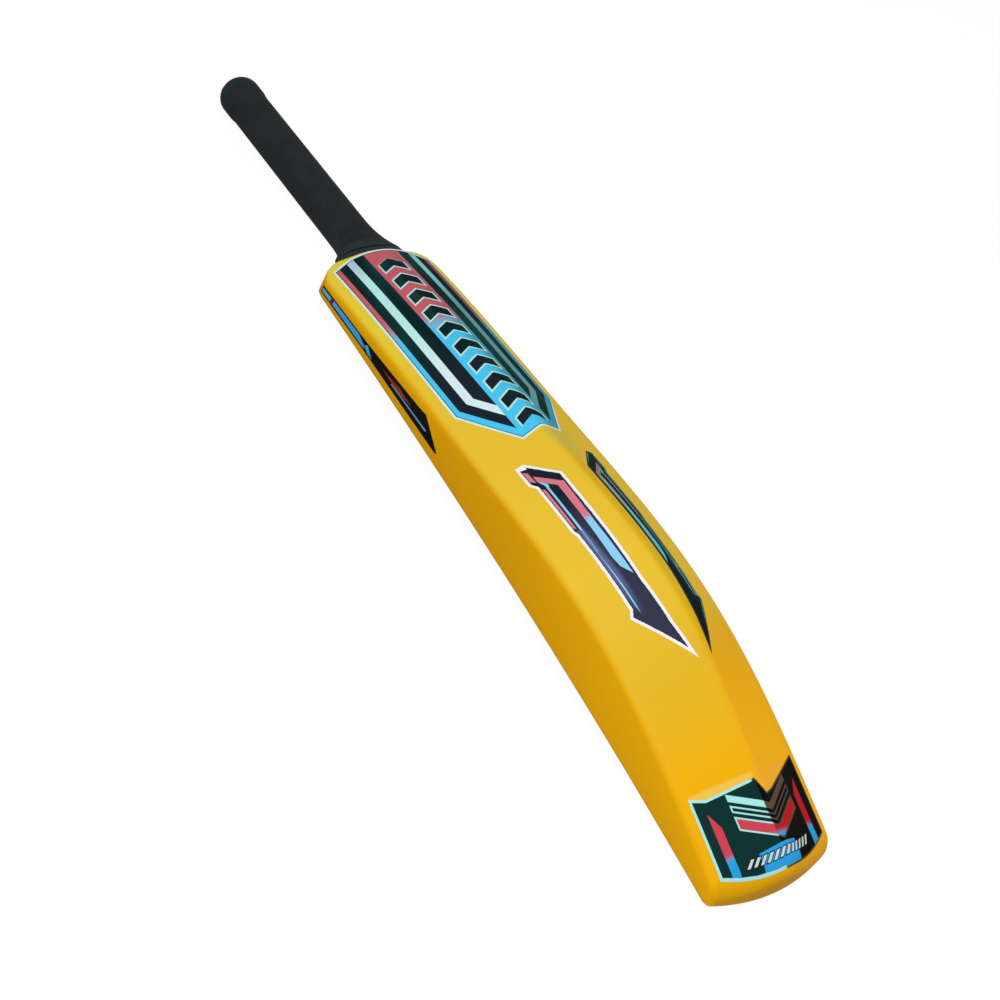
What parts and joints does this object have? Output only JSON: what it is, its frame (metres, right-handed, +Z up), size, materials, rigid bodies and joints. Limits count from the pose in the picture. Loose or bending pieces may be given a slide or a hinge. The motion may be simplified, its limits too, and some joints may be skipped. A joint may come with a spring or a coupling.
{
  "type": "plastic cricket bat",
  "caption": "Plastic cricket bat: hollow moulded blade with a bowed face, deep edges and a ridged back, black ribbed rubber grip with a flared skirt, and printed stickers.",
  "frame": {"origin": "centre of the bounding box in plan, at its bottom: the floor under a bat that lies face down on its toe and its butt", "axes": "+Y along the bat from the toe to the butt, +Z up out of the ridged back, +X to the right seen from the back with the handle up"},
  "size_m": [0.1078, 0.7818, 0.0916],
  "materials": {
    "blade_plastic": "satin moulded plastic, warm yellow",
    "core_plastic": "satin moulded plastic, black",
    "grip_rubber": "matte black rubber with fine ribs",
    "shoulder_label_vinyl": "printed vinyl sticker, dark green with pale, pink and blue stripes",
    "left_flank_label_vinyl": "printed vinyl sticker, dark purple with pink and blue",
    "right_flank_label_vinyl": "printed vinyl sticker, black with teal",
    "toe_label_vinyl": "printed vinyl sticker, dark green and black with red and blue",
    "left_edge_label_vinyl": "printed vinyl sticker, black with blue and brown"
  },
  "bodies": {
    "root": {"blade_shell": "blade_plastic", "handle_core": "core_plastic", "grip_sleeve": "grip_rubber", "shoulder_label": "shoulder_label_vinyl", "left_flank_label": "left_flank_label_vinyl", "right_flank_label": "right_flank_label_vinyl", "toe_label": "toe_label_vinyl", "left_edge_label": "left_edge_label_vinyl"}
  },
  "joints": []
}
